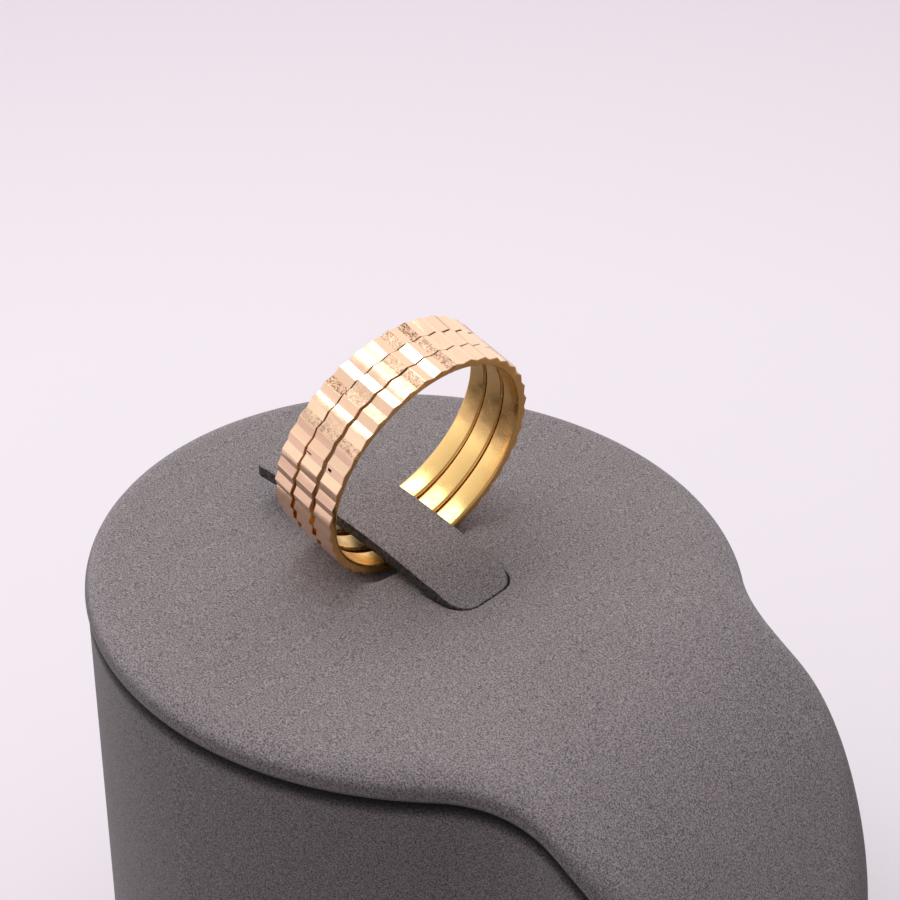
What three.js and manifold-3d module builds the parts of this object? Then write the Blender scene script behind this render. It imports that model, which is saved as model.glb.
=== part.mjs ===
// Stack of three faceted gold bands on a suede display stand.
// Millimetres, +Z up, +X from the round tower of the stand to its low lobe.
// The origin is on the base, at the middle of the whole part's box.
import * as THREE from "three";
import { mergeVertices } from "three/addons/utils/BufferGeometryUtils.js";
import Module from "manifold-3d";

// Bands
const BORE_RADIUS = 8.65; // a ring of 17.3 mm inner diameter
const VALLEY_WALL = 0.58; // wall at the bottom of a groove between two ridges
const RIDGE_HEIGHT = 0.2;
const RIDGE_COUNT = 40;
const BAND_WIDTH = 1.7;
const EDGE_BREAK = 0.07; // chamfer on every rim of a band
const BAND_GAP = 0.06; // where two bands nearly touch
const FAN_ANGLE = 1.15; // degrees that each band opens from the one before it
const BANDS = [
  { name: "band_front", slip: 0.67, closeAt: 0 },
  { name: "band_middle", slip: 0.7, closeAt: 60 },
  { name: "band_back", slip: 0.8, closeAt: 48 },
]; // slip is a share of a ridge, closeAt is degrees to the right of the top

// How the stack hangs on the tongue
const STACK_DIP = 13.8; // degrees that its axis falls towards the lobe
const STACK_TURN = -4.4; // degrees that its axis turns from the stand's axis
const STACK_AHEAD = -1.3; // foot of the front rim, along the stand from the middle of the tower
const STACK_ASIDE = 0.6; // foot of the front rim, across the stand
const STACK_SINK = 1.1; // how far the foot lies in the pad's groove
const STACK_CLEARANCE = 0.3; // between the bands and the groove, and the bands and the tongue

// Stand: a round tower joined to a lower lobe by concave necks
const STAND_HEIGHT = 40; // top of the pad at the middle of the tower
const TOWER_RADIUS = 24.1;
const LOBE_RADIUS = 13.8;
const LOBE_DISTANCE = 24.4; // between the middles of the tower and the lobe
const NECK_RADIUS = 10.8;
const PAD_SLOPE = 3.5; // degrees
const FALL_SLOPE = 56; // degrees, added to the pad's slope over the lobe
const FALL_START = 26.2; // middle of the bend, along the stand
const FALL_ROUNDING = 3; // size of the bend
const PAD_THICKNESS = 2;
const PAD_RIM = 1.9; // radius of the rolled rim
const PAD_GAP = 0.1; // seam between the pad and the column
const COLUMN_INSET = 0.15; // the column stands back under the pad's rim

// Tongue
const TONGUE_LENGTH = 20.4;
const TONGUE_WIDTH = 6.2;
const TONGUE_THICKNESS = 0.7;
const TONGUE_END = 6.7; // its end in the pocket, along the stand from the middle of the tower
const TONGUE_ASIDE = 0.5; // its middle line at that end, across the stand
const TONGUE_TURN = 1; // degrees
const TONGUE_SINK = 0.12; // its end lies this far below the pad's top
const TONGUE_CORNER = 1.8; // corners at the end in the pocket
const TONGUE_TIP_CORNER = 0.6; // corners at the free end
const TONGUE_CLEARANCE = 0.3; // round its end, in the pocket
const TONGUE_EDGE = 0.2; // chamfer under its long edges

// Mesh fineness
const TOWER_STEPS = 30;
const NECK_STEPS = 10;
const LOBE_STEPS = 16;
const RIM_STEPS = 5;
const CORNER_STEPS = 5;
const TONGUE_STEPS = 24;
const BORE_STEPS = 96;
const GROOVE_STEPS = 96;

const { degToRad } = THREE.MathUtils;
const wasm = await Module();
wasm.setup();

// Solids
function solidOf(geometry) {
  const bare = new THREE.BufferGeometry();
  bare.setAttribute("position", geometry.getAttribute("position").clone());
  bare.setIndex(geometry.index);
  const merged = mergeVertices(bare);
  const mesh = new wasm.Mesh({
    numProp: 3,
    vertProperties: new Float32Array(merged.getAttribute("position").array),
    triVerts: new Uint32Array(merged.index.array),
  });
  return new wasm.Manifold(mesh);
}

function geometryOf(solid) {
  const mesh = solid.getMesh();
  const geometry = new THREE.BufferGeometry();
  geometry.setAttribute("position", new THREE.BufferAttribute(mesh.vertProperties, mesh.numProp));
  geometry.setIndex(new THREE.BufferAttribute(mesh.triVerts, 1));
  geometry.computeVertexNormals();
  return geometry;
}

// A solid lofted through layers, from the lowest up. A layer is a row of stations along X,
// each with its half width and height, and every layer has the same number of stations.
function loftedSolid(layers) {
  const positions = [];
  const triangles = [];
  const addPoint = (x, y, z) => positions.push(x, y, z) / 3 - 1;
  const rings = layers.map((stations) => {
    const near = stations.map(({ x, half, z }) => addPoint(x, -half, z));
    const far = stations.map(({ x, half, z }, i) => (half > 0 ? addPoint(x, half, z) : near[i]));
    const loop = [...near, ...far.toReversed()].filter((point, i, all) => point !== all.at(i - 1));
    return { near, far, loop };
  });
  const addTriangle = (a, b, c) => {
    if (a !== b && b !== c && c !== a) triangles.push(a, b, c);
  };
  const addQuad = (a, b, c, d) => {
    addTriangle(a, b, c);
    addTriangle(a, c, d);
  };
  const bottom = rings[0];
  const top = rings.at(-1);
  for (let i = 0; i + 1 < top.near.length; i++) {
    addQuad(top.near[i], top.near[i + 1], top.far[i + 1], top.far[i]);
    addQuad(bottom.near[i], bottom.far[i], bottom.far[i + 1], bottom.near[i + 1]);
  }
  for (let k = 0; k + 1 < rings.length; k++) {
    const low = rings[k].loop;
    const high = rings[k + 1].loop;
    low.forEach((point, i) => {
      const next = (i + 1) % low.length;
      addQuad(point, low[next], high[next], high[i]);
    });
  }
  const geometry = new THREE.BufferGeometry();
  geometry.setAttribute("position", new THREE.Float32BufferAttribute(positions, 3));
  geometry.setIndex(triangles);
  return solidOf(geometry);
}

function arcStations(centreX, centreY, radius, from, to, steps) {
  return Array.from({ length: steps + 1 }, (_, i) => {
    const angle = from + ((to - from) * i) / steps;
    return { x: centreX + radius * Math.cos(angle), half: centreY + radius * Math.sin(angle) };
  });
}

// Plan of the stand, drawn in by an inset: the tower's arc, the neck's fillet and the lobe's arc
function standPlan(inset) {
  const tower = TOWER_RADIUS - inset;
  const lobe = LOBE_RADIUS - inset;
  const neck = NECK_RADIUS + inset;
  const towerReach = tower + neck;
  const lobeReach = lobe + neck;
  const neckX = (towerReach ** 2 - lobeReach ** 2 + LOBE_DISTANCE ** 2) / (2 * LOBE_DISTANCE);
  const neckY = Math.sqrt(towerReach ** 2 - neckX ** 2);
  const towerAngle = Math.atan2(neckY, neckX);
  const lobeAngle = Math.atan2(neckY, neckX - LOBE_DISTANCE);
  const towerArc = arcStations(0, 0, tower, Math.PI, towerAngle, TOWER_STEPS);
  const neckArc = arcStations(neckX, neckY, neck, towerAngle - Math.PI, lobeAngle - Math.PI, NECK_STEPS);
  const lobeArc = arcStations(LOBE_DISTANCE, 0, lobe, lobeAngle, 0, LOBE_STEPS);
  const plan = [...towerArc, ...neckArc.slice(1), ...lobeArc.slice(1)];
  plan.at(0).half = 0;
  plan.at(-1).half = 0;
  return plan;
}

// Height of the pad's top along the stand: a gentle slope that bends down over the lobe
function padTop(x) {
  const slope = Math.tan(degToRad(PAD_SLOPE)) * x;
  const bend = FALL_ROUNDING * Math.log1p(Math.exp((x - FALL_START) / FALL_ROUNDING));
  return STAND_HEIGHT - slope - Math.tan(degToRad(FALL_SLOPE)) * bend;
}

function layerAt(plan, height) {
  return plan.map(({ x, half }) => ({ x, half, z: height(x) }));
}

function columnSolid() {
  const plan = standPlan(COLUMN_INSET);
  const top = (x) => padTop(x) - PAD_THICKNESS - PAD_GAP;
  return loftedSolid([layerAt(plan, () => 0), layerAt(plan, top)]);
}

function padSolid() {
  const rimHeight = Math.min(PAD_RIM, PAD_THICKNESS);
  const layers = [layerAt(standPlan(0), (x) => padTop(x) - PAD_THICKNESS)];
  for (let i = 0; i <= RIM_STEPS; i++) {
    const angle = (Math.PI / 2) * (i / RIM_STEPS);
    const drop = rimHeight * (1 - Math.sin(angle));
    if (drop < PAD_THICKNESS) {
      const plan = standPlan(PAD_RIM * (1 - Math.cos(angle)));
      layers.push(layerAt(plan, (x) => padTop(x) - drop));
    }
  }
  return loftedSolid(layers);
}

// Bands
const ridgeRadius = BORE_RADIUS + VALLEY_WALL + RIDGE_HEIGHT;
const bandPitch = BAND_WIDTH + BAND_GAP + ridgeRadius * Math.sin(degToRad(FAN_ANGLE));
const stackLength = BANDS.length * bandPitch;

// A band lies along X, from its back rim to its front rim at X = 0, with its top at +Z.
function bandGeometry(slip) {
  const flanks = 2 * RIDGE_COUNT;
  const outline = Array.from({ length: flanks }, (_, i) => {
    const angle = (2 * Math.PI * (i + 2 * slip)) / flanks;
    const radius = ridgeRadius - (i % 2) * RIDGE_HEIGHT;
    return new THREE.Vector2(radius * Math.cos(angle), radius * Math.sin(angle));
  });
  const shape = new THREE.Shape(outline);
  const bore = new THREE.Path().absarc(0, 0, BORE_RADIUS, 0, 2 * Math.PI, true);
  shape.holes.push(new THREE.Path(bore.getPoints(BORE_STEPS).slice(0, -1)));
  const geometry = new THREE.ExtrudeGeometry(shape, {
    depth: BAND_WIDTH - 2 * EDGE_BREAK,
    bevelThickness: EDGE_BREAK,
    bevelSize: EDGE_BREAK,
    bevelOffset: -EDGE_BREAK,
    bevelSegments: 1,
  });
  geometry.translate(0, 0, EDGE_BREAK - BAND_WIDTH);
  geometry.rotateY(Math.PI / 2);
  return geometry;
}

const stackTilt = new THREE.Euler(0, degToRad(STACK_DIP), degToRad(STACK_TURN), "ZYX");
const footDrop = ridgeRadius * Math.cos(degToRad(STACK_DIP));
const footBack = ridgeRadius * Math.sin(degToRad(STACK_DIP));
const stackCentre = new THREE.Vector3(
  STACK_AHEAD + footBack * Math.cos(degToRad(STACK_TURN)),
  STACK_ASIDE + footBack * Math.sin(degToRad(STACK_TURN)),
  padTop(STACK_AHEAD) - STACK_SINK + footDrop,
);

// The room that the stack needs in the pad, in the stand's frame
function grooveSolid() {
  const length = stackLength + 2 * STACK_CLEARANCE;
  const radius = ridgeRadius + STACK_CLEARANCE;
  const groove = new THREE.CylinderGeometry(radius, radius, length, GROOVE_STEPS);
  groove.rotateZ(Math.PI / 2);
  groove.translate(STACK_CLEARANCE - length / 2, 0, 0);
  const place = new THREE.Matrix4().makeRotationFromEuler(stackTilt).setPosition(stackCentre);
  return solidOf(groove.applyMatrix4(place));
}

// Tongue
// Its own frame has X = 0 at the end in the pocket and the free tip at X = -TONGUE_LENGTH.
const tonguePlace = new THREE.Matrix4()
  .makeRotationZ(degToRad(TONGUE_TURN))
  .setPosition(TONGUE_END, TONGUE_ASIDE, 0);

// Rise above the pad as a share of the tip's rise: an arch that starts steep and levels out
function tongueArch(x) {
  return 1 - (1 + x / TONGUE_LENGTH) ** 2;
}

// Height of the bore's lowest wall at a place along and across the stand
function boreFloor(x, y) {
  const axis = new THREE.Vector3(1, 0, 0).applyEuler(stackTilt);
  const along = (x - stackCentre.x) / axis.x;
  const middle = stackCentre.clone().addScaledVector(axis, along);
  const aside = Math.min(Math.abs(y - middle.y), BORE_RADIUS);
  return middle.z - Math.sqrt(BORE_RADIUS ** 2 - aside ** 2) / axis.x;
}

// The tip rises as far as the tongue's lower edges need to pass over the bands.
function tongueTipRise() {
  const rimXs = [STACK_AHEAD, STACK_AHEAD - stackLength];
  const rises = rimXs.flatMap((rimX) =>
    [-1, 1].map((side) => {
      const x = rimX - TONGUE_END;
      const edge = new THREE.Vector3(x, side * (TONGUE_WIDTH / 2 - TONGUE_EDGE), 0).applyMatrix4(tonguePlace);
      const under = boreFloor(edge.x, edge.y) + STACK_CLEARANCE;
      const rise = under + TONGUE_THICKNESS + TONGUE_SINK - padTop(edge.x);
      return rise / tongueArch(x);
    }),
  );
  return Math.max(...rises);
}
const tipRise = tongueTipRise();

// Half of the tongue's plan: rounded corners at both ends and a straight edge between them
function tonguePlan(grow) {
  const half = TONGUE_WIDTH / 2 + grow;
  const endCorner = Math.min(TONGUE_CORNER + grow, half);
  const tipCorner = Math.min(TONGUE_TIP_CORNER + grow, half);
  const tipX = tipCorner - TONGUE_LENGTH - grow;
  const endX = grow - endCorner;
  const tip = arcStations(tipX, half - tipCorner, tipCorner, Math.PI, Math.PI / 2, CORNER_STEPS);
  const end = arcStations(endX, half - endCorner, endCorner, Math.PI / 2, 0, CORNER_STEPS);
  const edge = Array.from({ length: TONGUE_STEPS - 1 }, (_, i) => {
    return { x: tipX + ((endX - tipX) * (i + 1)) / TONGUE_STEPS, half };
  });
  return [...tip, ...edge, ...end];
}

// The tongue, or the room that it needs: grow widens it, and lift raises its top
function tongueSolid(grow, lift) {
  const top = (x) => {
    const place = new THREE.Vector3(x, 0, 0).applyMatrix4(tonguePlace);
    return padTop(place.x) - TONGUE_SINK + tipRise * tongueArch(x);
  };
  const edge = TONGUE_EDGE;
  const layers = [
    layerAt(tonguePlan(grow - edge), (x) => top(x) - TONGUE_THICKNESS - grow),
    layerAt(tonguePlan(grow), (x) => top(x) - TONGUE_THICKNESS - grow + edge),
    layerAt(tonguePlan(grow), (x) => top(x) - edge + lift),
    layerAt(tonguePlan(grow - edge), (x) => top(x) + lift),
  ];
  return loftedSolid(layers).transform(tonguePlace.elements);
}

// Pieces
const suede = { color: 0x8a8284, roughness: 0.95, metalness: 0 };
const darkSuede = { color: 0x6b6668, roughness: 0.95, metalness: 0 };
const gold = { color: 0xe6bd84, roughness: 0.2, metalness: 1 };

function piece(name, geometry, finish) {
  const mesh = new THREE.Mesh(geometry, new THREE.MeshStandardMaterial(finish));
  mesh.name = name;
  return mesh;
}

const part = new THREE.Group();
part.name = "stackable_ring_on_stand";

const stand = new THREE.Group();
stand.position.x = (TOWER_RADIUS - LOBE_DISTANCE - LOBE_RADIUS) / 2;
part.add(stand);

const groove = grooveSolid();
const pocket = tongueSolid(TONGUE_CLEARANCE, tipRise);
const column = columnSolid().subtract(groove).subtract(pocket);
const pad = padSolid().subtract(groove).subtract(pocket);
stand.add(piece("stand_column", geometryOf(column), darkSuede));
stand.add(piece("stand_pad", geometryOf(pad), suede));
stand.add(piece("stand_tongue", geometryOf(tongueSolid(0, 0)), suede));

const stack = new THREE.Group();
stack.position.copy(stackCentre);
stack.rotation.copy(stackTilt);
stand.add(stack);

BANDS.forEach(({ name, slip, closeAt }, i) => {
  const band = piece(name, bandGeometry(slip), gold);
  const hinge = new THREE.Vector3(0, Math.cos(degToRad(closeAt)), -Math.sin(degToRad(closeAt)));
  band.position.x = -i * bandPitch;
  band.quaternion.setFromAxisAngle(hinge, i * degToRad(FAN_ANGLE));
  stack.add(band);
});

export default part;
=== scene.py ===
"""Stack of three faceted gold bands on a suede display stand."""

import math
import random

import bmesh
import bpy
from bpy.props import FloatProperty, FloatVectorProperty, IntProperty, PointerProperty
from mathutils import Euler, Matrix, Vector


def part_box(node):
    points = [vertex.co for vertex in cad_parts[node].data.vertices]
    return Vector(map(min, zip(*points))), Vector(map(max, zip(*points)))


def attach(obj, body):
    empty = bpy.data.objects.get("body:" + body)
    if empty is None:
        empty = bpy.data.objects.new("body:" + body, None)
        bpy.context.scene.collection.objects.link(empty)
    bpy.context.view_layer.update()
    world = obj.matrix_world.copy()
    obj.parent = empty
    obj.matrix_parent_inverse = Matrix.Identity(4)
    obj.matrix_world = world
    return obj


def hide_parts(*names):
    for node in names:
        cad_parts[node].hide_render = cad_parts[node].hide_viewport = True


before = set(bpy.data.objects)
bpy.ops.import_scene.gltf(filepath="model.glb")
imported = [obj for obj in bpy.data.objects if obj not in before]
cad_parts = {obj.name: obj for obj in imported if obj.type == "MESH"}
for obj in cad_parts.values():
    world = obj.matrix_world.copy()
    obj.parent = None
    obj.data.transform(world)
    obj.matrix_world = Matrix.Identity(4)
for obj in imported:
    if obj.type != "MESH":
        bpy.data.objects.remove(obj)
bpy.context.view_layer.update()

bl_info = {
    "name": "Faceted Bands on a Stand",
    "version": (1, 0, 0),
    "blender": (4, 5, 0),
    "location": "3D View > Sidebar > Bands",
    "description": "Builds a stack of faceted gold bands on a suede display stand",
    "category": "Add Mesh",
}

MM = 0.001
UP = Vector((0, 0, 1))
# Mesh of the two faces that meet in the seam
CAP_STEP = 2 * MM
# Grains to a metre and depth of the pile, on the suede and on its cut edges
SUEDE_GRAIN = 9000
SUEDE_RELIEF = 0.05 * MM
EDGE_GRAIN = 3400
EDGE_RELIEF = 0.3 * MM
# Edges turned by more degrees than this stay sharp
SHARP_CUT = 14
SHARP_SUEDE = 40
# Half sizes of the part of the pad that is meshed finely for the dent
DENT_ALONG = 5.5 * MM
DENT_ACROSS = 7 * MM
# Steps along the tongue and levels up the column
TONGUE_STEPS = 64
COLUMN_LEVELS = 24


# Settings


def length(name, description, default):
    """A size in metres, given here in millimetres."""
    return FloatProperty(
        name=name,
        description=description,
        default=default * MM,
        unit="LENGTH",
        subtype="DISTANCE",
        precision=5,
    )


def angle(name, description, default):
    """An angle, given here in degrees."""
    return FloatProperty(
        name=name,
        description=description,
        default=math.radians(default),
        unit="ROTATION",
        subtype="ANGLE",
    )


def share(name, description, default):
    """A number between nothing and all."""
    return FloatProperty(
        name=name,
        description=description,
        default=default,
        min=0,
        max=1,
        subtype="FACTOR",
    )


def colour(name, description, default):
    """A colour of light or of a surface."""
    return FloatVectorProperty(
        name=name,
        description=description,
        default=default,
        min=0,
        max=1,
        size=3,
        subtype="COLOR",
    )


class BandSizes(bpy.types.PropertyGroup):
    """Sizes of one band, and how the bands stand beside each other."""

    bore_radius: length("Bore Radius", "Inner radius of a band", 8.65)
    valley_wall: length("Valley Wall", "Wall at the bottom of a groove", 0.58)
    ridge_height: length("Ridge Height", "Height of a ridge over its valleys", 0.2)
    ridge_count: IntProperty(
        name="Ridges", description="Ridges round a band", default=40, min=3
    )
    width: length("Width", "Width of a band along its axis", 1.76)
    edge_break: length("Edge Break", "Chamfer on the outer edge of a rim", 0.035)
    bore_rounding: length(
        "Bore Rounding", "Radius of the inner edge of a rim", 0.22
    )
    crest_rounding: length("Crest Rounding", "Bevel along each ridge", 0.02)
    gap: length("Gap", "Gap where two bands nearly touch", 0.03)
    fan: angle("Fan", "Angle that each band opens from the one before", 1.15)
    unevenness: length("Unevenness", "How far a cut strays from its place", 0.018)
    lean: length("Lean", "How far the ends of a cut differ in depth", 0.035)


class StackPlace(bpy.types.PropertyGroup):
    """How the stack hangs on the stand."""

    dip: angle("Dip", "Fall of the stack's axis towards the lobe", 13.8)
    turn: angle("Turn", "Turn of the stack's axis from the stand's", -4.4)
    ahead: length("Ahead", "Foot of the front rim from the tower's middle", -1.3)
    aside: length("Aside", "Foot of the front rim across the stand", 0.6)
    sink: length("Sink", "Depth of the foot in the pad", 1.1)
    clearance: length("Clearance", "Room between the bands and the suede", 0.3)
    shoulder: length("Shoulder", "Softness of the dent's edge", 0.2)


class StandSizes(bpy.types.PropertyGroup):
    """Sizes of the stand."""

    height: length("Height", "Top of the pad at the tower's middle", 40)
    tower_radius: length("Tower Radius", "Radius of the round tower", 24.1)
    lobe_radius: length("Lobe Radius", "Radius of the lower lobe", 13.8)
    lobe_distance: length("Lobe Distance", "From the tower to the lobe", 24.4)
    neck_radius: length("Neck Radius", "Radius of the concave necks", 10.8)
    slope: angle("Slope", "Slope of the pad", 3.5)
    fall: angle("Fall", "Slope over the lobe", 56)
    fall_start: length("Fall Start", "Middle of the bend over the lobe", 26.2)
    fall_rounding: length("Fall Rounding", "Size of that bend", 3)
    pad_thickness: length("Pad Thickness", "Thickness of the pad", 2)
    pad_rim: length("Pad Rim", "Radius of the pad's rolled rim", 1.9)
    pad_gap: length("Pad Gap", "Seam between pad and column", 0.65)
    seam_rounding: length("Seam Rounding", "Radius of both edges of the seam", 0.45)
    # painted shadow: how far the painted seam shadow reaches down the column
    seam_shadow: length("Seam Shadow", "Depth of the dark nap below the seam", 0.35)
    column_inset: length("Column Inset", "Column behind the pad's rim", 0.15)
    neck_fold: length("Neck Fold", "Depth of the fold down the neck", 0.12)
    foot_rounding: length("Foot Rounding", "Radius at the column's foot", 0.4)


class TongueSizes(bpy.types.PropertyGroup):
    """Sizes of the springy tongue that carries the stack."""

    long: length("Length", "Length of the tongue", 20.4)
    width: length("Width", "Width of the tongue", 6.2)
    thickness: length("Thickness", "Thickness of the tongue", 0.95)
    end: length("End", "Its end in the pocket from the tower's middle", 6.7)
    aside: length("Aside", "Its middle line across the stand", 0.5)
    turn: angle("Turn", "Its turn from the stand's axis", 1)
    sink: length("Sink", "Its end lies this far below the pad's top", 0.12)
    corner: length("Corner", "Corner radius at the end in the pocket", 1.8)
    tip_corner: length("Tip Corner", "Corner radius at the free end", 0.6)
    edge: length("Edge", "Rounding along its edges", 0.16)
    pocket_gap: length("Pocket Gap", "Room round its end in the pocket", 0.16)


class Finish(bpy.types.PropertyGroup):
    """Colours and roughness of the surfaces."""

    gold: colour("Gold", "Cut flats outside", (0.92, 0.63, 0.43))
    # painted reflection: the bore and rim tints are deeper than the flats' gold, standing in
    # for gold mirrored in gold
    bore_gold: colour("Bore Gold", "Polished bore", (0.94, 0.62, 0.24))
    rim_gold: colour("Rim Gold", "Side faces of a band", (0.9, 0.5, 0.15))
    # painted shade: the nick's bottom is darker gold
    nick_gold: colour("Nick Gold", "Bottom of a nick", (0.3, 0.15, 0.07))
    # painted reflection: the speck colour darkens chosen flats as dark surroundings mirrored in
    # them, along with real scuffs
    scuff_and_dark_reflection_gold: colour("Scuffed Gold", "Specks on scuffed flats", (0.13, 0.09, 0.07))
    gold_roughness: share("Gold Roughness", "Roughness of the cut flats", 0.16)
    bore_roughness: share("Bore Roughness", "Roughness of the bore", 0.2)
    suede: colour("Suede", "Pale grains of the suede", (0.4, 0.353, 0.36))
    suede_dark: colour("Suede Shade", "Dark grains of the suede", (0.06, 0.049, 0.051))
    # painted shade: tones multiplied onto the suede for upright sides, down-facing faces and
    # the column's top edge
    painted_wall_shade: share("Wall Shade", "Tone of the nap on upright sides", 0.48)
    painted_underside_shade: share("Seam Shade", "Tone of the nap on faces that look down", 0.1)
    painted_ledge_shadow: share("Ledge Shade", "Tone of the nap on the column's top edge", 0.22)
    suede_edge: colour("Cut Edge", "Cut edge of the tongue", (0.15, 0.13, 0.125))
    floor: colour("Floor", "Floor of the studio", (0.84, 0.78, 0.83))


def settings():
    """All the groups of settings, from the scene."""
    scene = bpy.context.scene
    return (
        scene.band_sizes,
        scene.stack_place,
        scene.stand_sizes,
        scene.tongue_sizes,
        scene.band_finish,
    )


# Places on the stand


def tower_x(stand):
    """The tower's middle, along the part."""
    return (stand.tower_radius - stand.lobe_distance - stand.lobe_radius) / 2


def pad_top(stand, x):
    """Height of the pad's top at a place along the part."""
    along = x - tower_x(stand)
    bend = stand.fall_rounding * math.log1p(
        math.exp((along - stand.fall_start) / stand.fall_rounding)
    )
    return stand.height - math.tan(stand.slope) * along - math.tan(stand.fall) * bend


def neck(stand):
    """Middle of the neck's arc, and where it meets the tower and the lobe, as angles."""
    tower_reach = stand.tower_radius + stand.neck_radius
    lobe_reach = stand.lobe_radius + stand.neck_radius
    gap = stand.lobe_distance
    along = (tower_reach**2 - lobe_reach**2 + gap**2) / (2 * gap)
    across = math.sqrt(tower_reach**2 - along**2)
    return along, across, math.atan2(across, along), math.atan2(across, along - gap)


def neck_middle(stand):
    """The middle of the neck on the viewer's side, under the pad's edge."""
    along, across, tower_angle, lobe_angle = neck(stand)
    turn = (tower_angle + lobe_angle) / 2
    reach = stand.neck_radius + stand.column_inset
    return Vector(
        (
            tower_x(stand) + along - reach * math.cos(turn),
            -across + reach * math.sin(turn),
        )
    )


def ridge_radius(band):
    """Outer radius of a band over its ridges."""
    return band.bore_radius + band.valley_wall + band.ridge_height


def band_pitch(band):
    """Distance from one band's front rim to the next one's, at the axis."""
    return band.width + band.gap + ridge_radius(band) * math.sin(band.fan)


def stack_matrix(band, place, stand):
    """The stack's place: X along its axis, the middle of its front rim at the origin."""
    foot = ridge_radius(band)
    back = foot * math.sin(place.dip)
    middle = Vector(
        (
            tower_x(stand) + place.ahead + back * math.cos(place.turn),
            place.aside + back * math.sin(place.turn),
            pad_top(stand, tower_x(stand) + place.ahead)
            - place.sink
            + foot * math.cos(place.dip),
        )
    )
    turn = Matrix.Rotation(place.turn, 4, "Z") @ Matrix.Rotation(place.dip, 4, "Y")
    return Matrix.Translation(middle) @ turn


def tongue_matrix(stand, tongue):
    """The tongue's place: X = 0 at its end in the pocket, X falling to the free tip."""
    end = Vector((tower_x(stand) + tongue.end, tongue.aside, 0))
    return Matrix.Translation(end) @ Matrix.Rotation(tongue.turn, 4, "Z")


def tongue_arch(tongue, x):
    """Rise over the pad as a share of the tip's rise."""
    return 1 - (1 + x / tongue.long) ** 2


def tip_rise():
    """Rise of the tongue's tip, so that its lower edges pass over the bands."""
    band, place, stand, tongue, _ = settings()
    stack = stack_matrix(band, place, stand)
    lay = tongue_matrix(stand, tongue)
    axis = stack.to_3x3() @ Vector((1, 0, 0))
    rises = []
    for back in (0, 3 * band_pitch(band)):
        for side in (-1, 1):
            x = place.ahead - back - tongue.end
            corner = lay @ Vector((x, side * (tongue.width / 2 - tongue.edge), 0))
            steps = (corner.x - stack.translation.x) / axis.x
            middle = stack.translation + steps * axis
            aside = corner.y - middle.y
            floor = middle.z - math.sqrt(band.bore_radius**2 - aside**2) / axis.x
            under = floor + place.clearance + tongue.thickness + tongue.sink
            rises.append((under - pad_top(stand, corner.x)) / tongue_arch(tongue, x))
    return max(rises)


# Modelling helpers


def clear_selection():
    """Leave nothing selected, so that an operator acts on its own piece alone."""
    if bpy.context.mode != "OBJECT":
        bpy.ops.object.mode_set(mode="OBJECT")
    bpy.ops.object.select_all(action="DESELECT")


def choose(piece):
    """Select one piece alone and make it the active one."""
    clear_selection()
    piece.select_set(True)
    bpy.context.view_layer.objects.active = piece


def edit(piece):
    """Open a piece in edit mode with nothing selected in it."""
    choose(piece)
    bpy.ops.object.mode_set(mode="EDIT")
    bpy.ops.mesh.select_all(action="DESELECT")


def pick(kind, test):
    """Select only the vertices, edges or faces that pass a test; returns how many."""
    modes = {"verts": "VERT", "edges": "EDGE", "faces": "FACE"}
    bpy.ops.mesh.select_mode(type=modes[kind])
    bpy.ops.mesh.select_all(action="DESELECT")
    mesh = bpy.context.edit_object.data
    shape = bmesh.from_edit_mesh(mesh)
    found = [item for item in getattr(shape, kind) if test(item)]
    for item in found:
        item.select_set(True)
    bmesh.update_edit_mesh(mesh)
    if not found:
        raise RuntimeError(f"nothing to select among the {kind}")
    return len(found)


def extrude_ring(rise, scale):
    """Extrude the selected loop along Z and draw it in or out."""
    bpy.ops.mesh.extrude_edges_move(TRANSFORM_OT_translate={"value": (0, 0, rise)})
    bpy.ops.transform.resize(value=(scale, scale, 1))


def apply_modifier(piece, kind, **values):
    """Add a modifier to a piece and apply it."""
    choose(piece)
    modifier = piece.modifiers.new(kind.title(), kind)
    for name, value in values.items():
        setattr(modifier, name, value)
    bpy.ops.object.modifier_apply(modifier=modifier.name)


def settle(piece, matrix=None):
    """Put a piece's place into its mesh and leave its object at the origin."""
    if matrix is not None:
        piece.data.transform(matrix)
    choose(piece)
    bpy.ops.object.transform_apply(location=True, rotation=True, scale=True)


def smooth_to(piece, degrees):
    """Shade a piece smooth, but keep edges sharper than an angle."""
    choose(piece)
    bpy.ops.object.shade_smooth_by_angle(angle=math.radians(degrees))


def copy_piece(piece, name):
    """A copy of a piece with its own mesh."""
    choose(piece)
    bpy.ops.object.duplicate(linked=False)
    twin = bpy.context.object
    twin.name = name
    twin.data.name = name
    return twin


# Materials


class NodeSheet:
    """A node tree that is filled from left to right."""

    def __init__(self, tree):
        self.tree = tree

    def add(self, kind, inputs=None, **values):
        """Add a node, link or set its inputs and set its own values."""
        node = self.tree.nodes.new(kind)
        for name, value in values.items():
            setattr(node, name, value)
        for name, value in (inputs or {}).items():
            if isinstance(value, bpy.types.NodeSocket):
                self.tree.links.new(value, node.inputs[name])
            else:
                node.inputs[name].default_value = value
        return node


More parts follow.
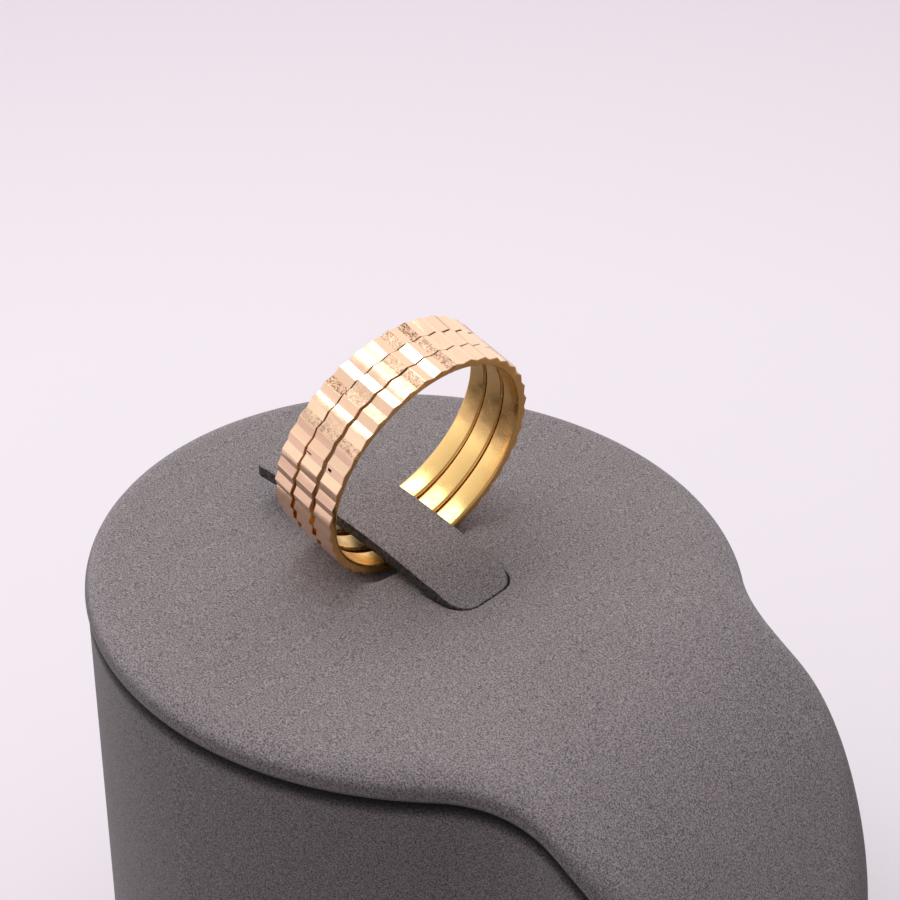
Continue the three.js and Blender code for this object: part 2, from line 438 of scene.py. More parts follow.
def grain_group():
    """Node group: soft and fine grains of the suede's pile, as a mask and a height."""
    group = bpy.data.node_groups.get("nap_grain")
    if group:
        return group
    group = bpy.data.node_groups.new("nap_grain", "ShaderNodeTree")
    face = group.interface
    face.new_socket("Position", in_out="INPUT", socket_type="NodeSocketVector")
    face.new_socket("Fine Scale", in_out="INPUT", socket_type="NodeSocketFloat")
    face.new_socket("Cloud Scale", in_out="INPUT", socket_type="NodeSocketFloat")
    face.new_socket("Clouds", in_out="INPUT", socket_type="NodeSocketFloat")
    face.new_socket("Mask", in_out="OUTPUT", socket_type="NodeSocketFloat")
    face.new_socket("Height", in_out="OUTPUT", socket_type="NodeSocketFloat")
    sheet = NodeSheet(group)
    given = sheet.add("NodeGroupInput").outputs
    fine = sheet.add(
        "ShaderNodeTexNoise",
        {
            "Vector": given["Position"],
            "Scale": given["Fine Scale"],
            "Detail": 1.5,
            "Roughness": 0.6,
        },
    )
    cloud = sheet.add(
        "ShaderNodeTexNoise",
        {"Vector": given["Position"], "Scale": given["Cloud Scale"], "Detail": 2},
    )
    spread = sheet.add(
        "ShaderNodeMapRange",
        {"Value": fine.outputs["Fac"], "From Min": 0.32, "From Max": 0.68},
    )
    mixed = sheet.add(
        "ShaderNodeMix",
        {"Factor": given["Clouds"], "A": spread.outputs["Result"], "B": cloud.outputs["Fac"]},
    )
    sheet.add(
        "NodeGroupOutput",
        {"Mask": mixed.outputs["Result"], "Height": fine.outputs["Fac"]},
    )
    group.interface_update(bpy.context)
    return group


def new_material(name):
    """A material with its node sheet, its shader and the object's coordinates."""
    material = bpy.data.materials.new(name)
    material.use_nodes = True
    sheet = NodeSheet(material.node_tree)
    shader = material.node_tree.nodes["Principled BSDF"]
    where = sheet.add("ShaderNodeTexCoord").outputs["Object"]
    return material, sheet, shader, where


def suede_material(name, light, dark, scale, relief):
    """Short pile suede: fine grains over soft clouds, times the painted shade stored on its
    vertices.
    """
    material = bpy.data.materials.get(name)
    if material:
        return material
    group = grain_group()
    material, sheet, shader, where = new_material(name)
    grain = sheet.add(
        "ShaderNodeGroup",
        {"Position": where, "Fine Scale": scale, "Cloud Scale": 90, "Clouds": 0.12},
        node_tree=group,
    )
    tint = sheet.add(
        "ShaderNodeMix",
        {"Factor": grain.outputs["Mask"], "A": (*dark, 1), "B": (*light, 1)},
        data_type="RGBA",
    )
    # painted shade: the tone stored on each vertex darkens sides, undersides and the seam
    tone = sheet.add("ShaderNodeAttribute", attribute_name="nap").outputs["Fac"]
    toned = sheet.add(
        "ShaderNodeVectorMath", {0: tint.outputs["Result"], "Scale": tone}, operation="SCALE"
    )
    sheet.tree.links.new(toned.outputs["Vector"], shader.inputs["Base Color"])
    bump = sheet.add(
        "ShaderNodeBump",
        {"Height": grain.outputs["Height"], "Strength": 0.6, "Distance": relief},
    )
    sheet.tree.links.new(bump.outputs["Normal"], shader.inputs["Normal"])
    shader.inputs["Roughness"].default_value = 0.95
    shader.inputs["Specular IOR Level"].default_value = 0.15
    shader.inputs["Sheen Weight"].default_value = 0.12
    shader.inputs["Sheen Roughness"].default_value = 0.6
    return material


def stand_suede(finish):
    """The suede that covers the stand."""
    return suede_material(
        "stand_suede", finish.suede, finish.suede_dark, SUEDE_GRAIN, SUEDE_RELIEF
    )


def gold_material(name, tint, speck, roughness):
    """Gold: fine marks in its gloss, and dark specks on marked flats, partly real scuffs and
    partly painted dark reflection.
    """
    material = bpy.data.materials.get(name)
    if material:
        return material
    material, sheet, shader, where = new_material(name)
    scuff_and_reflection = sheet.add("ShaderNodeAttribute", attribute_name="scuffed").outputs["Fac"]
    # dark specks: real scuff marks, and painted dark reflection on flats that face dark
    # surroundings
    specks = sheet.add(
        "ShaderNodeTexNoise",
        {"Vector": where, "Scale": 4000, "Detail": 4, "Roughness": 0.75, "Distortion": 1.5},
    )
    sharp = sheet.add(
        "ShaderNodeMapRange",
        {"Value": specks.outputs["Fac"], "From Min": 0.42, "From Max": 0.62},
    )
    scuff_and_reflection_specks = sheet.add(
        "ShaderNodeMath", {0: sharp.outputs["Result"], 1: scuff_and_reflection}, operation="MULTIPLY"
    ).outputs["Value"]
    mixed = sheet.add(
        "ShaderNodeMix",
        {"Factor": scuff_and_reflection_specks, "A": (*tint, 1), "B": (*speck, 1)},
        data_type="RGBA",
    )
    sheet.tree.links.new(mixed.outputs["Result"], shader.inputs["Base Color"])
    marks = sheet.add(
        "ShaderNodeTexNoise",
        {"Vector": where, "Scale": 900, "Detail": 5, "Roughness": 0.6},
    ).outputs["Fac"]
    gloss = sheet.add(
        "ShaderNodeMapRange",
        {
            "Value": marks,
            "From Min": 0.3,
            "From Max": 0.7,
            "To Min": roughness * 0.6,
            "To Max": roughness * 1.5,
        },
    ).outputs["Result"]
    dulled = sheet.add("ShaderNodeMath", {0: scuff_and_reflection, 1: 0.5, 2: gloss}, operation="MULTIPLY_ADD")
    sheet.tree.links.new(dulled.outputs["Value"], shader.inputs["Roughness"])
    relief = sheet.add(
        "ShaderNodeMath", {0: scuff_and_reflection_specks, 1: -0.5, 2: marks}, operation="MULTIPLY_ADD"
    )
    bump = sheet.add(
        "ShaderNodeBump",
        {"Height": relief.outputs["Value"], "Strength": 0.15, "Distance": 0.05 * MM},
    )
    sheet.tree.links.new(bump.outputs["Normal"], shader.inputs["Normal"])
    shader.inputs["Metallic"].default_value = 1
    return material


def floor_material(tint):
    """Matte studio floor with painted light falloff: a little darker away from the stand."""
    material, sheet, shader, where = new_material("studio_floor")
    off = sheet.add("ShaderNodeVectorMath", {0: where}, operation="LENGTH")
    cloud = sheet.add("ShaderNodeTexNoise", {"Vector": where, "Scale": 4, "Detail": 1})
    wavy = sheet.add(
        "ShaderNodeMath",
        {0: cloud.outputs["Fac"], 1: 0.04, 2: off.outputs["Value"]},
        operation="MULTIPLY_ADD",
    )
    # painted light falloff: darker away from the stand
    painted_falloff = sheet.add(
        "ShaderNodeMapRange",
        {"Value": wavy.outputs["Value"], "From Min": 0.14, "From Max": 0.34},
    )
    mixed = sheet.add(
        "ShaderNodeMix",
        {
            "Factor": painted_falloff.outputs["Result"],
            "A": (*tint, 1),
            "B": (tint[0] * 0.87, tint[1] * 0.83, tint[2] * 0.86, 1),
        },
        data_type="RGBA",
    )
    sheet.tree.links.new(mixed.outputs["Result"], shader.inputs["Base Color"])
    shader.inputs["Roughness"].default_value = 0.9
    return material


# Bands


def model_band(band):
    """One band round Z, its front rim at Z = 0, a ridge on +X."""
    clear_selection()
    outer = ridge_radius(band)
    valley = 1 - band.ridge_height / outer
    drawn_in = 1 - band.edge_break / outer
    bpy.ops.mesh.primitive_circle_add(vertices=2 * band.ridge_count, radius=outer)
    piece = bpy.context.object
    edit(piece)
    ridge = 2 * math.pi / band.ridge_count
    pick("verts", lambda v: round(2 * math.atan2(v.co.y, v.co.x) / ridge) % 2 == 1)
    bpy.ops.transform.resize(value=(valley, valley, 1))
    bpy.ops.mesh.select_all(action="SELECT")
    bpy.ops.transform.resize(value=(drawn_in, drawn_in, 1))
    extrude_ring(-band.edge_break, 1 / drawn_in)
    extrude_ring(2 * band.edge_break - band.width, 1)
    extrude_ring(-band.edge_break, drawn_in)
    add_bore(band)
    for rim in (0, -band.width):
        pick("edges", lambda e: e.is_boundary and abs(e.verts[0].co.z - rim) < 1e-6)
        bpy.ops.mesh.fill(use_beauty=True)
    bpy.ops.mesh.select_all(action="SELECT")
    bpy.ops.mesh.normals_make_consistent(inside=False)
    bpy.ops.object.mode_set(mode="OBJECT")
    return piece


def add_bore(band, steps=5, segments=240):
    """The bore's wall, rounded at both rims, in the mesh that is being edited."""
    start = band.bore_radius + band.bore_rounding
    bpy.ops.mesh.select_all(action="DESELECT")
    bpy.ops.mesh.primitive_circle_add(vertices=segments, radius=start)
    turns = [math.pi / 2 * i / steps for i in range(steps + 1)]
    front = [
        (-band.bore_rounding * (1 - math.cos(t)), start - band.bore_rounding * math.sin(t))
        for t in turns
    ]
    back = [(-band.width - z, radius) for z, radius in reversed(front)]
    at = front[0]
    for z, radius in front[1:] + back:
        extrude_ring(z - at[0], radius / at[1])
        at = (z, radius)


def stray(band, piece, seed):
    """Move each cut of a band a little from its place, as a hand-set cutter does."""
    rng = random.Random(seed)
    count = 2 * band.ridge_count
    wander = [[rng.uniform(-1, 1) for _ in range(3)] for _ in range(count)]
    least = band.bore_radius + band.valley_wall - 2 * band.edge_break
    for vertex in piece.data.vertices:
        flat = vertex.co.xy
        if flat.length > least:
            index = round(math.atan2(flat.y, flat.x) * count / (2 * math.pi)) % count
            front, back, along = wander[index]
            lean = front if vertex.co.z > -band.width / 2 else back
            deeper = 0.5 * band.lean * (lean - 1)
            reach = 1 + deeper / flat.length
            slide = 3 * band.unevenness * along / flat.length
            vertex.co.xy = Matrix.Rotation(slide, 2) @ (flat * reach)


def side_angle(spot):
    """Place round a band in degrees, from its top towards its left side."""
    return math.degrees(math.atan2(-spot.y, -spot.x))


def bend(piece, size, back_at):
    """Bend a band out of flat: backwards at an angle and at the opposite one."""
    for vertex in piece.data.vertices:
        turn = math.radians(side_angle(vertex.co) - back_at)
        vertex.co.z -= size * math.cos(2 * turn)


def cut_nick(piece, bottom, outside, at, depth, size):
    """Cut a small nick in the outside of a band, at an angle and a distance from its rim."""
    clear_selection()
    turn = math.radians(at)
    radius = outside - depth / 2
    bpy.ops.mesh.primitive_cube_add(
        size=1,
        location=(-radius * math.cos(turn), -radius * math.sin(turn), -size[2]),
        rotation=(0, 0, turn),
        scale=(3 * depth, size[0], size[1]),
    )
    cutter = bpy.context.object
    cutter.data.materials.append(bottom)
    apply_modifier(
        piece,
        "BOOLEAN",
        operation="DIFFERENCE",
        solver="EXACT",
        object=cutter,
        material_mode="TRANSFER",
    )
    bpy.data.objects.remove(cutter)


def paint_faces(piece, bore):
    """Give the bore and the side faces their own finish, with deeper gold tints that are
    painted reflection of gold in gold.
    """
    for face in piece.data.polygons:
        reach = max(piece.data.vertices[i].co.xy.length for i in face.vertices)
        if abs(face.normal.z) > 0.95:
            face.material_index = 2
        else:
            face.material_index = int(reach < bore)


def mark_scuffs_and_dark_reflections(piece, band, scuffs_and_dark_reflections, seed):
    """Write down how much each flat is scuffed and darkened with painted dark reflection: the
    named ones much, the others hardly.
    """
    rng = random.Random(seed)
    ridge = 180 / band.ridge_count
    slight = [rng.uniform(0, 0.25) ** 2 for _ in range(2 * band.ridge_count)]
    marks = piece.data.attributes.new("scuffed", "FLOAT", "FACE")
    for face in piece.data.polygons:
        at = side_angle(face.center)
        marks.data[face.index].value = slight[int((at + 360) / ridge) % len(slight)]
        for start, end, strength in scuffs_and_dark_reflections:
            if start < at <= end:
                marks.data[face.index].value = strength


def round_crests(band, piece):
    """A fine bevel along the ridges."""
    edit(piece)
    least = ridge_radius(band) - band.ridge_height / 2

    def on_crest(edge):
        one, two = (v.co for v in edge.verts)
        low = min(one.xy.length, two.xy.length)
        return low > least and abs(one.z - two.z) > band.edge_break / 2

    pick("edges", on_crest)
    bpy.ops.mesh.bevel(offset=band.crest_rounding, segments=2, profile=0.5)
    bpy.ops.object.mode_set(mode="OBJECT")


# Each band's slip is a share of a ridge. It stands back from the first one, leans from it by
# an angle, closest to it in one place, in degrees to the right of the top, and is bent out of
# flat. Its scuffed flats, also darkened with painted dark reflection, are given from one angle
# to another, with a strength.
BANDS = (
    {
        "name": "band_front",
        "slip": 0.67,
        "back": 0,
        "lean": 0,
        "closest": 0,
        "bend": (0, 0),
        "scuffs_and_dark_reflections": (
            (-3, 1.5, 0.9),
            (15, 19.5, 0.8),
            (19.5, 24, 0.4),
            (37.5, 42, 0.5),
            (55.5, 60, 0.7),
        ),
        "nick": (71.5, 0.22 * MM, (0.24 * MM, 0.34 * MM, 1.4 * MM)),
    },
    {
        "name": "band_middle",
        "slip": 0.7,
        "back": 1.958 * MM,
        "lean": 1.19,
        "closest": 60.8,
        "bend": (0.061 * MM, 104.7),
        "scuffs_and_dark_reflections": (
            (-3, 1.5, 0.8),
            (15, 19.5, 0.75),
            (19.5, 24, 0.4),
            (33, 37.5, 0.35),
            (37.5, 42, 0.75),
            (51, 55.5, 0.3),
            (55.5, 60, 0.65),
        ),
        "nick": (72, 0.2 * MM, (0.12 * MM, 0.45 * MM, 1.46 * MM)),
    },
    {
        "name": "band_back",
        "slip": 0.8,
        "back": 3.892 * MM,
        "lean": 2.29,
        "closest": 48.3,
        "bend": (0.131 * MM, 128),
        "scuffs_and_dark_reflections": (
            (-2, 2.5, 1),
            (7, 11.5, 0.85),
            (16, 20.5, 0.4),
            (20.5, 25, 0.25),
            (38.5, 43, 1),
            (56.5, 61, 0.6),
        ),
        "nick": None,
    },
)


class MESH_OT_faceted_bands(bpy.types.Operator):
    """Build the three faceted bands"""

    bl_idname = "mesh.faceted_bands"
    bl_label = "Faceted Bands"
    bl_options = {"REGISTER", "UNDO"}

    def execute(self, context):
        band, place, stand, _, finish = settings()
        outside = gold_material(
            "cut_gold", finish.gold, finish.scuff_and_dark_reflection_gold, finish.gold_roughness
        )
        # painted reflection: deeper gold tints for the bore and the rims
        inside = gold_material(
            "bore_gold", finish.bore_gold, finish.scuff_and_dark_reflection_gold, finish.bore_roughness
        )
        sides = gold_material(
            "rim_gold", finish.rim_gold, finish.scuff_and_dark_reflection_gold, finish.gold_roughness
        )
        # painted shade in the bottom of the nick
        bottom = gold_material("nick_gold", finish.nick_gold, finish.scuff_and_dark_reflection_gold, 0.5)
        pattern = model_band(band)
        stack = stack_matrix(band, place, stand)
        upright = Matrix.Rotation(math.pi / 2, 4, "Y")
        for number, plan in enumerate(BANDS):
            piece = copy_piece(pattern, plan["name"] + "_cut")
            stray(band, piece, number + 1)
            round_crests(band, piece)
            for material in (outside, inside, sides):
                piece.data.materials.append(material)
            paint_faces(piece, band.bore_radius + band.bore_rounding * 1.01)
            turn = Matrix.Rotation(plan["slip"] * 2 * math.pi / band.ridge_count, 4, "Z")
            piece.data.transform(turn)
            if plan["nick"]:
                cut_nick(piece, bottom, ridge_radius(band), *plan["nick"])
            mark_scuffs_and_dark_reflections(piece, band, plan["scuffs_and_dark_reflections"], number + 1)
            bend(piece, *plan["bend"])
            closest = math.radians(plan["closest"])
            hinge = Vector((0, math.cos(closest), -math.sin(closest)))
            opened = Matrix.Rotation(math.radians(plan["lean"]), 4, hinge)
            back = Matrix.Translation((-plan["back"], 0, 0))
            settle(piece, stack @ back @ opened @ upright)
            smooth_to(piece, SHARP_CUT)
            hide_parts(plan["name"])
            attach(piece, "root")
        bpy.data.objects.remove(pattern)
        return {"FINISHED"}


# Stand


def section_arc(centre_x, centre_z, radius, steps, upper):
    """A quarter of a circle in the XZ plane, for the edge of a section."""
    clear_selection()
    bpy.ops.mesh.primitive_circle_add(
        vertices=4 * steps,
        radius=radius,
        location=(centre_x, 0, centre_z),
        rotation=(math.pi / 2, 0, 0),
    )
    piece = bpy.context.object
    bpy.ops.object.transform_apply(location=True, rotation=True, scale=True)
    edit(piece)
    hair = radius * 1e-3
    side = 1 if upper else -1
    pick(
        "verts",
        lambda v: v.co.x > centre_x + hair or side * (v.co.z - centre_z) < -hair,
    )
    bpy.ops.mesh.delete(type="VERT")
    return piece


def round_section(radius, up, steps=5):
    """Carry the selected end of a section round a quarter circle, to face inwards."""
    for i in range(steps):
        old, new = (math.pi / 2 * k / steps for k in (i, i + 1))
        inwards = radius * (math.cos(old) - math.cos(new))
        rise = up * radius * (math.sin(new) - math.sin(old))
        bpy.ops.mesh.extrude_vertices_move(
            TRANSFORM_OT_translate={"value": (inwards, 0, rise)}
        )


def spin_round(stand):
    """Sweep the selected section round the tower, the neck and the lobe."""
    along, across, tower_angle, lobe_angle = neck(stand)
    middle = tower_x(stand)
    arcs = (
        (Vector((middle, 0, 0)), tower_angle - math.pi, 88),
        (Vector((middle + along, across, 0)), lobe_angle - tower_angle, 22),
        (Vector((middle + stand.lobe_distance, 0, 0)), -lobe_angle, 40),
    )
    for centre, turn, steps in arcs:
        bpy.ops.mesh.spin(steps=steps, angle=-turn, center=centre, axis=UP)


def close_round(piece, low, high):
    """Mirror the swept half and close it below and above; all of it stays selected."""
    bpy.ops.object.mode_set(mode="OBJECT")
    apply_modifier(
        piece,
        "MIRROR",
        use_axis=(False, True, False),
        use_mirror_merge=True,
        merge_threshold=2e-5,
    )
    edit(piece)
    bpy.ops.mesh.select_all(action="SELECT")
    bpy.ops.mesh.remove_doubles(threshold=2e-6)
    for level in (low, high):
        pick("edges", lambda e: e.is_boundary and abs(e.verts[0].co.z - level) < 1e-7)
        bpy.ops.mesh.edge_face_add()
    bpy.ops.mesh.select_all(action="SELECT")
    bpy.ops.mesh.normals_make_consistent(inside=False)


def cut_grid(test, low, high, step):
    """Cut the chosen faces along lines of X and Y, a step apart."""
    for axis in (0, 1):
        normal = Vector((0, 0, 0))
        normal[axis] = 1
        count = round((high[axis] - low[axis]) / step)
        for i in range(1, count):
            point = Vector((0, 0, 0))
            point[axis] = low[axis] + (high[axis] - low[axis]) * i / count
            pick("faces", test)
            bpy.ops.mesh.bisect(plane_co=point, plane_no=normal)


def dent_depth(x, y, top, stack, inverse, band, place):
    """How deep the bands press the pad at a place."""
    axis = stack.to_3x3() @ Vector((1, 0, 0))
    local = inverse @ Vector((x, y, top))
    foot = ridge_radius(band) + place.clearance
    aside = local.y
    if abs(aside) >= foot:
        return 0
    floor = -math.sqrt(foot**2 - aside**2)
    depth = (local.z - floor) / axis.x
    soft = place.shoulder
    pressed = soft * math.log1p(math.exp(min(depth / soft, 60)))
    reach = 3 * band_pitch(band) + place.clearance
    over = max(local.x - place.clearance, -reach - local.x, 0) / (5 * soft)
    fade = max(0, 1 - over)
    return pressed * fade * fade * (3 - 2 * fade)


def model_pad(band, place, stand):
    """The pad: rolled rim, top that bends over the lobe, dent under the bands."""
    back = tower_x(stand) - stand.tower_radius
    piece = section_arc(back + stand.pad_rim, -stand.pad_rim, stand.pad_rim, 10, True)
    rolled = stand.pad_thickness - stand.seam_rounding
    bpy.ops.mesh.select_all(action="SELECT")
    bpy.ops.transform.resize(
        value=(1, 1, rolled / stand.pad_rim), center_override=(back, 0, 0)
    )
    lowest = min(v.co.z for v in bmesh.from_edit_mesh(piece.data).verts)
    pick("verts", lambda v: abs(v.co.z - lowest) < 1e-7)
    round_section(stand.seam_rounding, -1)
    bpy.ops.mesh.select_all(action="SELECT")
    spin_round(stand)
    close_round(piece, -stand.pad_thickness, 0)
    low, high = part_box("stand_pad")
    top_z = -1e-6
    cut_grid(lambda f: f.normal.z < -0.999, low, high, CAP_STEP)
    cut_grid(lambda f: f.calc_center_median().z > top_z, low, high, 0.8 * MM)
    stack = stack_matrix(band, place, stand)
    near = stack @ Vector((-1.5 * band_pitch(band), 0, -ridge_radius(band)))

    def in_dent(face):
        middle = face.calc_center_median()
        offset = middle.xy - near.xy
        near_x = abs(offset.x) < DENT_ALONG
        near_y = abs(offset.y) < DENT_ACROSS
        return middle.z > top_z and near_x and near_y

    pick("faces", in_dent)
    bpy.ops.mesh.subdivide(number_cuts=4)
    bpy.ops.object.mode_set(mode="OBJECT")
    inverse = stack.inverted()
    for vertex in piece.data.vertices:
        x, y, z = vertex.co
        top = pad_top(stand, x)
        if z > top_z:
            top -= dent_depth(x, y, top, stack, inverse, band, place)
        vertex.co.z = z + top
    return piece


def tongue_top(stand, tongue, rise, x, y=0):
    """Height of the tongue's top at a place along it."""
    spot = tongue_matrix(stand, tongue) @ Vector((x, y, 0))
    return pad_top(stand, spot.x) - tongue.sink + rise * tongue_arch(tongue, x)


def model_tongue(stand, tongue, grow, lift):
    """The tongue, or the room that it needs: grow widens it and lift raises its top."""
    clear_selection()
    rise = tip_rise()
    thick = tongue.thickness + grow + lift
    size = Vector((tongue.long + 2 * grow, tongue.width + 2 * grow, thick))
    middle = Vector((-tongue.long / 2, 0, (lift - tongue.thickness - grow) / 2))
    bpy.ops.mesh.primitive_cube_add(size=1, location=middle, scale=size)
    piece = bpy.context.object
    bpy.ops.object.transform_apply(location=True, rotation=True, scale=True)
    edit(piece)
    for at, corner in ((1, tongue.corner), (-1, tongue.tip_corner)):
        edge_x = middle.x + at * size.x / 2
        pick(
            "edges",
            lambda e: all(abs(v.co.x - edge_x) < 1e-7 for v in e.verts)
            and abs(e.verts[0].co.z - e.verts[1].co.z) > 1e-6,
        )
        bpy.ops.mesh.bevel(offset=corner + grow, segments=10, profile=0.5)
    top_z = middle.z + size.z / 2
    low_z = middle.z - size.z / 2
    if not lift:
        pick(
            "edges",
            lambda e: abs(e.verts[0].co.z - e.verts[1].co.z) < 1e-7
            and (abs(e.verts[0].co.z - top_z) < 1e-7 or abs(e.verts[0].co.z - low_z) < 1e-7),
        )
        bpy.ops.mesh.bevel(offset=tongue.edge, segments=4, profile=0.5)
    for i in range(1, TONGUE_STEPS):
        bpy.ops.mesh.select_all(action="SELECT")
        point = Vector((middle.x + size.x * (i / TONGUE_STEPS - 0.5), 0, 0))
        bpy.ops.mesh.bisect(plane_co=point, plane_no=Vector((1, 0, 0)))
    bpy.ops.object.mode_set(mode="OBJECT")
    lay = tongue_matrix(stand, tongue)
    for vertex in piece.data.vertices:
        x, y, z = vertex.co
        raised = tongue_top(stand, tongue, rise, x, y)
        spot = lay @ Vector((x, y, 0))
        vertex.co = Vector((spot.x, spot.y, raised + z))
    return piece


def ease(value):
    """A soft step from 0 to 1."""
    value = min(1, max(0, value))
    return value * value * (3 - 2 * value)


def paint_facing_shade(piece, finish):
    """Write down painted shade by facing: full tone on top, darker on sides, darkest looking
    down.
    """
    nap = piece.data.attributes.new("nap", "FLOAT", "POINT")
    side = finish.painted_wall_shade
    under = finish.painted_underside_shade
    for vertex in piece.data.vertices:
        rise = vertex.normal.z
        # painted shade: full tone facing up, darker on upright sides, darkest facing down as in
        # shadow
        tone = side + (1 - side) * ease((rise - 0.35) / 0.4)
        nap.data[vertex.index].value = tone + (under - side) * ease(-rise / 0.5)


def paint_column_shade(piece, stand, finish):
    """Write down the painted shade on the column: painted seam shadow at its top edge, the even
    painted wall shade below it.
    """
    nap = piece.data.attributes.new("nap", "FLOAT", "POINT")
    dark = finish.painted_ledge_shadow
    reach = stand.seam_rounding + stand.seam_shadow
    for vertex in piece.data.vertices:
        seam = pad_top(stand, vertex.co.x) - stand.pad_thickness - stand.pad_gap
        # painted shadow: darkest at the seam, fading to the wall tone below
        lit = ease((seam - vertex.co.z) / reach)
        nap.data[vertex.index].value = dark + (finish.painted_wall_shade - dark) * lit


def wear_suede(piece, replaced):
    """Hide the part that a suede piece replaces and give the piece its body."""
    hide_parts(replaced)
    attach(piece, "root")


class MESH_OT_suede_pad(bpy.types.Operator):
    """Build the stand's suede pad with its dent and its pocket"""

    bl_idname = "mesh.suede_pad"
    bl_label = "Suede Pad"
    bl_options = {"REGISTER", "UNDO"}

    def execute(self, context):
        band, place, stand, tongue, finish = settings()
        piece = model_pad(band, place, stand)
        piece.name = "suede_pad"
        cutter = model_tongue(stand, tongue, tongue.pocket_gap, 6 * MM)
        apply_modifier(
            piece, "BOOLEAN", operation="DIFFERENCE", solver="EXACT", object=cutter
        )
        bpy.data.objects.remove(cutter)
        settle(piece)
        piece.data.materials.clear()
        piece.data.materials.append(stand_suede(finish))
        # painted shade by facing on the pad
        paint_facing_shade(piece, finish)
        smooth_to(piece, SHARP_SUEDE)
        wear_suede(piece, "stand_pad")
        return {"FINISHED"}


class MESH_OT_suede_tongue(bpy.types.Operator):
    """Build the springy tongue that the stack hangs on"""

    bl_idname = "mesh.suede_tongue"
    bl_label = "Suede Tongue"
    bl_options = {"REGISTER", "UNDO"}

    def execute(self, context):
        _, _, stand, tongue, finish = settings()
        piece = model_tongue(stand, tongue, 0, 0)
        piece.name = "suede_tongue"
        settle(piece)
        piece.data.materials.append(stand_suede(finish))
        dark = [v / 12 for v in finish.suede_edge]
        piece.data.materials.append(
            suede_material("cut_edge", finish.suede_edge, dark, EDGE_GRAIN, EDGE_RELIEF)
        )
        # painted shade by facing on the tongue
        paint_facing_shade(piece, finish)
        for face in piece.data.polygons:
            face.material_index = int(face.normal.z < 0.8)
        smooth_to(piece, SHARP_SUEDE)
        wear_suede(piece, "stand_tongue")
        return {"FINISHED"}


class MESH_OT_suede_column(bpy.types.Operator):
    """Build the suede covered body of the stand"""

    bl_idname = "mesh.suede_column"
    bl_label = "Suede Column"
    bl_options = {"REGISTER", "UNDO"}

    def execute(self, context):
        _, _, stand, _, finish = settings()
        back = tower_x(stand) - stand.tower_radius + stand.column_inset
        foot = stand.foot_rounding
        piece = section_arc(back + foot, foot, foot, 5, False)
        highest = max(v.co.z for v in bmesh.from_edit_mesh(piece.data).verts)
        pick("verts", lambda v: abs(v.co.z - highest) < 1e-7)
        top = stand.height
        # the last level carries the fade of the painted seam shadow
        straight = top - foot - stand.seam_rounding - stand.seam_shadow
        rises = [straight / COLUMN_LEVELS] * COLUMN_LEVELS + [stand.seam_shadow]
        for rise in rises:
            bpy.ops.mesh.extrude_vertices_move(
                TRANSFORM_OT_translate={"value": (0, 0, rise)}
            )
        round_section(stand.seam_rounding, 1)
        bpy.ops.mesh.select_all(action="SELECT")
        spin_round(stand)
        close_round(piece, 0, top)
        low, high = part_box("stand_column")
        cut_grid(lambda f: f.normal.z > 0.999, low, high, CAP_STEP)
        bpy.ops.object.mode_set(mode="OBJECT")
        piece.name = "suede_column"
        crease = neck_middle(stand)
        for vertex in piece.data.vertices:
            off = vertex.co.xy - crease
            if off.length < 0.15 * MM:
                vertex.co.xy -= stand.neck_fold * crease.normalized()
            under = pad_top(stand, vertex.co.x) - stand.pad_thickness - stand.pad_gap
            if vertex.co.z > foot:
                vertex.co.z = foot + (vertex.co.z - foot) * (under - foot) / (top - foot)
        settle(piece)
        piece.data.materials.append(stand_suede(finish))
        # painted seam shadow and wall shade on the column
        paint_column_shade(piece, stand, finish)
        smooth_to(piece, SHARP_SUEDE)
        wear_suede(piece, "stand_column")
        return {"FINISHED"}


# Stage


# Each softbox: its place, its turn in degrees, its width and height, and its power
LIGHTS = (
    ("overhead_light", (-0.15, -0.02, 0.52), (0, 0, 0), (0.15, 0.44), 0.87),
    ("left_light", (-0.34, -0.48, 0.1), (82, 0, -35), (0.4, 0.24), 0.05),
)


class SCENE_OT_studio(bpy.types.Operator):
    """Build the studio: pale floor, soft lights and the camera"""

    bl_idname = "scene.studio"
    bl_label = "Studio"
    bl_options = {"REGISTER", "UNDO"}

    def execute(self, context):
        finish = settings()[4]
        clear_selection()
        bpy.ops.mesh.primitive_grid_add(x_subdivisions=8, y_subdivisions=8, size=4)
        floor = bpy.context.object
        floor.name = "studio_floor"
        floor.data.materials.append(floor_material(finish.floor))
        for name, spot, turn, size, power in LIGHTS:
            turn = [math.radians(value) for value in turn]
            bpy.ops.object.light_add(type="AREA", location=spot, rotation=turn)
            lamp = context.object
            lamp.name = name
            lamp.visible_camera = False
            lamp.data.shape = "RECTANGLE"
            lamp.data.size, lamp.data.size_y = size
            lamp.data.energy = power
        context.scene.world = studio_air()
        context.scene.view_settings.view_transform = "Standard"
        add_camera(context.scene)
        return {"FINISHED"}


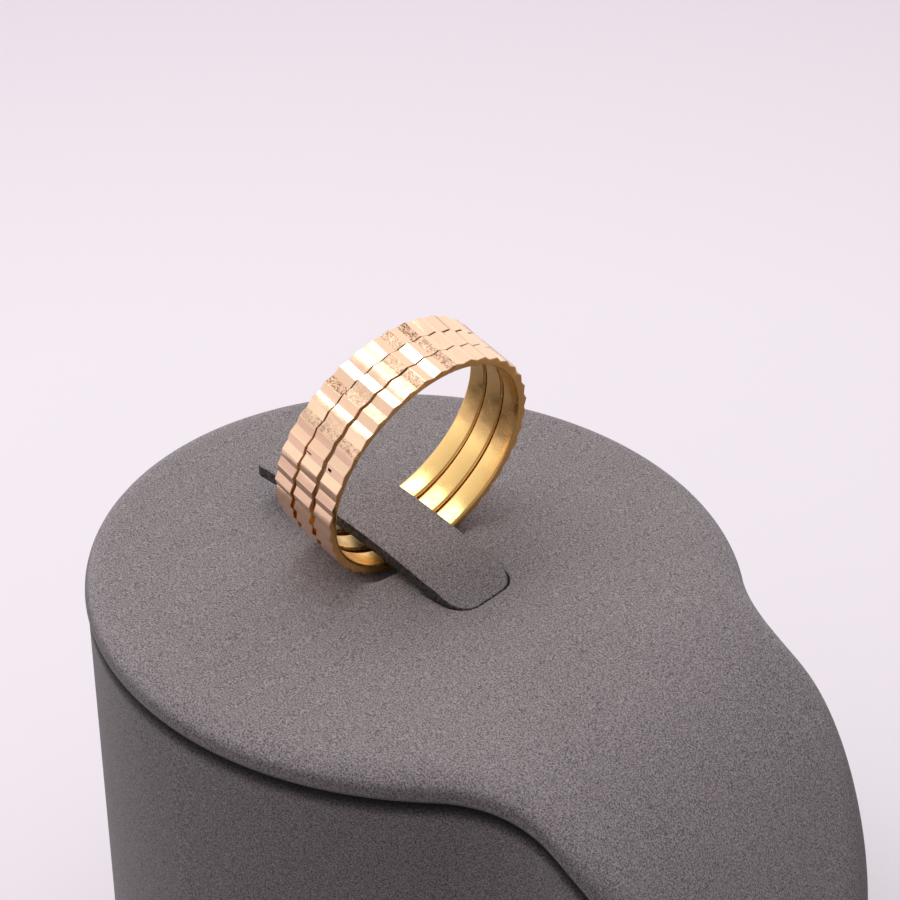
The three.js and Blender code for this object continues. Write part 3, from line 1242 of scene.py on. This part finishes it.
def studio_air():
    """Soft light all round, weaker from the low end of the stand."""
    world = bpy.data.worlds.new("studio_air")
    world.use_nodes = True
    sheet = NodeSheet(world.node_tree)
    towards = sheet.add("ShaderNodeTexCoord").outputs["Generated"]
    ahead = sheet.add(
        "ShaderNodeVectorMath", {0: towards, 1: (0.95, -0.3, 0)}, operation="DOT_PRODUCT"
    )
    strength = sheet.add(
        "ShaderNodeMapRange",
        {
            "Value": ahead.outputs["Value"],
            "From Min": -0.5,
            "From Max": 0.6,
            "To Min": 1.2,
            "To Max": 0.35,
        },
    )
    air = world.node_tree.nodes["Background"]
    air.inputs["Color"].default_value = (1, 0.98, 1, 1)
    sheet.tree.links.new(strength.outputs["Result"], air.inputs["Strength"])
    return world


def add_camera(scene):
    """The camera, above the low end of the stand."""
    data = bpy.data.cameras.new("camera")
    data.sensor_width = 36
    data.lens = 98
    data.clip_start = 0.01
    camera = bpy.data.objects.new("camera", data)
    camera.location = (0.0945, -0.1092, 0.1390)
    camera.rotation_euler = Euler((math.radians(59), 0, math.radians(42)))
    scene.collection.objects.link(camera)
    scene.camera = camera


class VIEW3D_PT_bands(bpy.types.Panel):
    """The settings and the pieces, in the sidebar"""

    bl_label = "Faceted Bands"
    bl_space_type = "VIEW_3D"
    bl_region_type = "UI"
    bl_category = "Bands"

    def draw(self, context):
        layout = self.layout
        for group in settings():
            box = layout.box()
            for name in group.bl_rna.properties.keys():
                if name not in ("rna_type", "name"):
                    box.prop(group, name)
        for operator in OPERATORS:
            layout.operator(operator.bl_idname)


GROUPS = {
    "band_sizes": BandSizes,
    "stack_place": StackPlace,
    "stand_sizes": StandSizes,
    "tongue_sizes": TongueSizes,
    "band_finish": Finish,
}
OPERATORS = (
    MESH_OT_faceted_bands,
    MESH_OT_suede_pad,
    MESH_OT_suede_tongue,
    MESH_OT_suede_column,
    SCENE_OT_studio,
)


def register():
    for name, group in GROUPS.items():
        bpy.utils.register_class(group)
        setattr(bpy.types.Scene, name, PointerProperty(type=group))
    for operator in OPERATORS:
        bpy.utils.register_class(operator)
    bpy.utils.register_class(VIEW3D_PT_bands)


def unregister():
    bpy.utils.unregister_class(VIEW3D_PT_bands)
    for operator in reversed(OPERATORS):
        bpy.utils.unregister_class(operator)
    for name, group in reversed(GROUPS.items()):
        delattr(bpy.types.Scene, name)
        bpy.utils.unregister_class(group)


def main():
    """Build every piece and the studio."""
    register()
    bpy.ops.mesh.faceted_bands()
    bpy.ops.mesh.suede_pad()
    bpy.ops.mesh.suede_tongue()
    bpy.ops.mesh.suede_column()
    bpy.ops.scene.studio()


if __name__ == "__main__":
    main()
